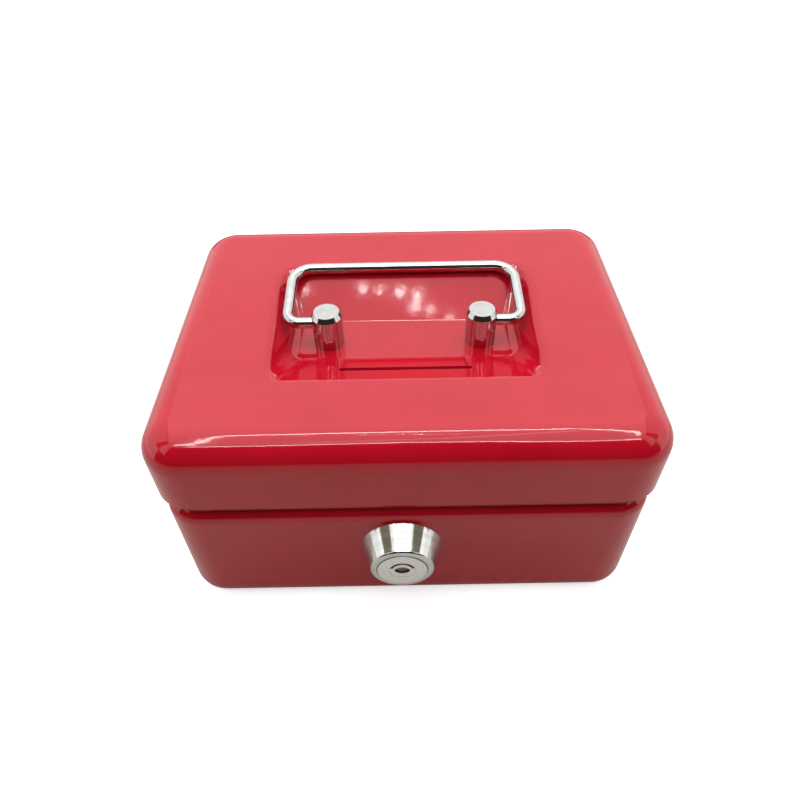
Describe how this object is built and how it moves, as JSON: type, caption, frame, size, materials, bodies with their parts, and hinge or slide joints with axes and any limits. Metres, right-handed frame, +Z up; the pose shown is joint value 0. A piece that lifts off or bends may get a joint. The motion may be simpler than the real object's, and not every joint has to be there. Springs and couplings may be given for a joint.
{
  "type": "cash box",
  "caption": "Small red pressed-steel cash box with a hinged lid, coin slot, folding bail handle in a recess, cam lock with a curved keyhole and a coin tray inside.",
  "frame": {"origin": "centre of the flat base", "axes": "+X to the right seen from the front, +Y to the rear, +Z up"},
  "size_m": [0.153, 0.129, 0.083],
  "materials": {
    "red_paint": "gloss paint on pressed steel",
    "chrome": "bright plating",
    "satin_nickel": "satin nickel plating",
    "zinc_steel": "zinc plated steel",
    "brass": "turned brass",
    "black_plastic": "moulded plastic"
  },
  "bodies": {
    "box": {"body_shell": "red_paint", "hinge_leaf_lower": "red_paint", "hinge_pin": "zinc_steel", "lock_bezel": "chrome", "lock_cylinder": "satin_nickel", "lock_washer": "zinc_steel", "lock_nut": "zinc_steel", "tumbler_sleeve": "brass", "driver_pins": "brass", "driver_springs": "zinc_steel", "sleeve_cross_pin": "zinc_steel", "tray_rest_left": "red_paint", "tray_rest_right": "red_paint"},
    "lid": {"lid_shell": "red_paint", "hinge_leaf_upper": "red_paint", "lid_catch": "zinc_steel", "handle_post_left": "chrome", "handle_post_right": "chrome", "post_screws": "zinc_steel", "post_washers": "zinc_steel"},
    "handle": {"handle_bail": "chrome"},
    "lock_plug": {"lock_spindle": "satin_nickel", "key_pins": "brass", "stop_washer": "zinc_steel", "lock_cam": "zinc_steel", "cam_washer": "zinc_steel", "cam_nut": "zinc_steel"},
    "tray": {"coin_tray": "black_plastic"}
  },
  "joints": [
    {"name": "lid_hinge", "type": "hinge", "parent": "box", "child": "lid", "pos_m": [0, 0.06045, 0.05505], "axis": [-1, 0, 0], "range_deg": [0, 110]},
    {"name": "handle_swing", "type": "hinge", "parent": "lid", "child": "handle", "pos_m": [0, -0.001, 0.0781], "axis": [1, 0, 0], "range_deg": [0, 167.5]},
    {"name": "lock_turn", "type": "hinge", "parent": "box", "child": "lock_plug", "pos_m": [-0.0021, -0.05, 0.032], "axis": [0, 1, 0], "range_deg": [0, 90]},
    {"name": "coin_tray_lift", "type": "slide", "parent": "box", "child": "tray", "axis": [0, 0, 1], "range_m": [0, 0.008]}
  ]
}
